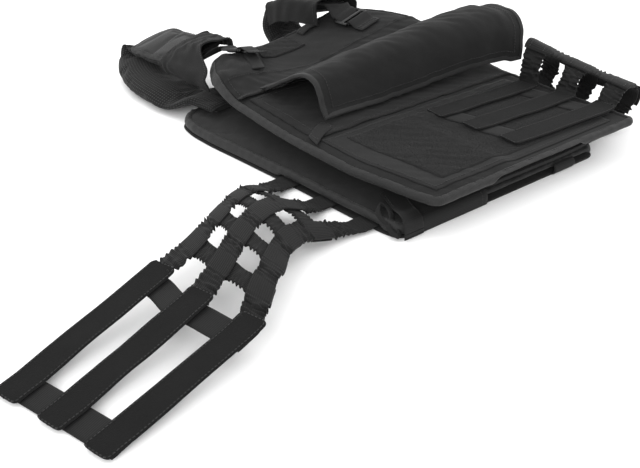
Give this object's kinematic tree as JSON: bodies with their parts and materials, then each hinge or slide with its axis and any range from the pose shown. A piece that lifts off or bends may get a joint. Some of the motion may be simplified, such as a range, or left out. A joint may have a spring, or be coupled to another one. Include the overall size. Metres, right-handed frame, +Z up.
{
  "type": "tactical vest",
  "caption": "Folded plate carrier vest: padded front and back panels with open pockets, front flap, skeleton cummerbund with hook strips, folded shoulder pads and buckled straps.",
  "frame": {"origin": "on the underside of the back panel, on the plane it lies on, midway across it and 182 mm above its bottom edge", "axes": "+Y to the neck, +X to the right as the picture shows it lying, +Z up from the surface"},
  "size_m": [0.792, 0.6637, 0.1154],
  "materials": {
    "cloth": "matte woven nylon, black",
    "liner": "matte smooth lining cloth, black",
    "binding": "folded edging tape, slightly lighter",
    "pile": "fuzzy hook and loop pile, darkest",
    "webbing": "smooth woven webbing, slight sheen",
    "elastic": "gathered woven elastic, black",
    "padding": "soft padded cloth with spacer mesh on its inner side",
    "plastic": "satin moulded plastic, black"
  },
  "bodies": {
    "root": {"back_face": "cloth", "back_liner": "liner", "back_binding": "binding", "front_liner": "liner", "front_face": "cloth", "front_binding": "binding", "front_upper_panel": "cloth", "front_middle_panel": "cloth", "front_lower_field": "pile", "front_top_field": "pile", "front_flap": "cloth", "left_elastic_row_1": "elastic", "left_elastic_row_2": "elastic", "left_elastic_row_3": "elastic", "left_column_1": "webbing", "left_column_2": "webbing", "left_column_3": "webbing", "left_column_4": "webbing", "left_hook_strip_1": "pile", "left_hook_strip_2": "pile", "left_hook_strip_3": "pile", "left_cross_band_1": "webbing", "left_cross_band_2": "webbing", "right_elastic_row_1": "elastic", "right_elastic_row_2": "elastic", "right_elastic_row_3": "elastic", "right_column_1": "webbing", "right_column_2": "webbing", "right_column_3": "webbing", "right_column_4": "webbing", "right_hook_strip_1": "pile", "right_hook_strip_2": "pile", "right_hook_strip_3": "pile", "right_cross_band_1": "webbing", "right_cross_band_2": "webbing", "left_shoulder_pad": "padding", "right_shoulder_pad": "padding", "left_pad_sleeve": "cloth", "right_pad_sleeve": "cloth", "left_strap_buckle": "plastic", "left_shoulder_strap": "webbing", "right_strap_buckle": "plastic", "right_shoulder_strap": "webbing", "back_bottom_flap": "cloth", "back_webbing_loop": "webbing", "flap_pull_tab": "webbing", "front_cord_clip": "webbing"}
  },
  "joints": []
}
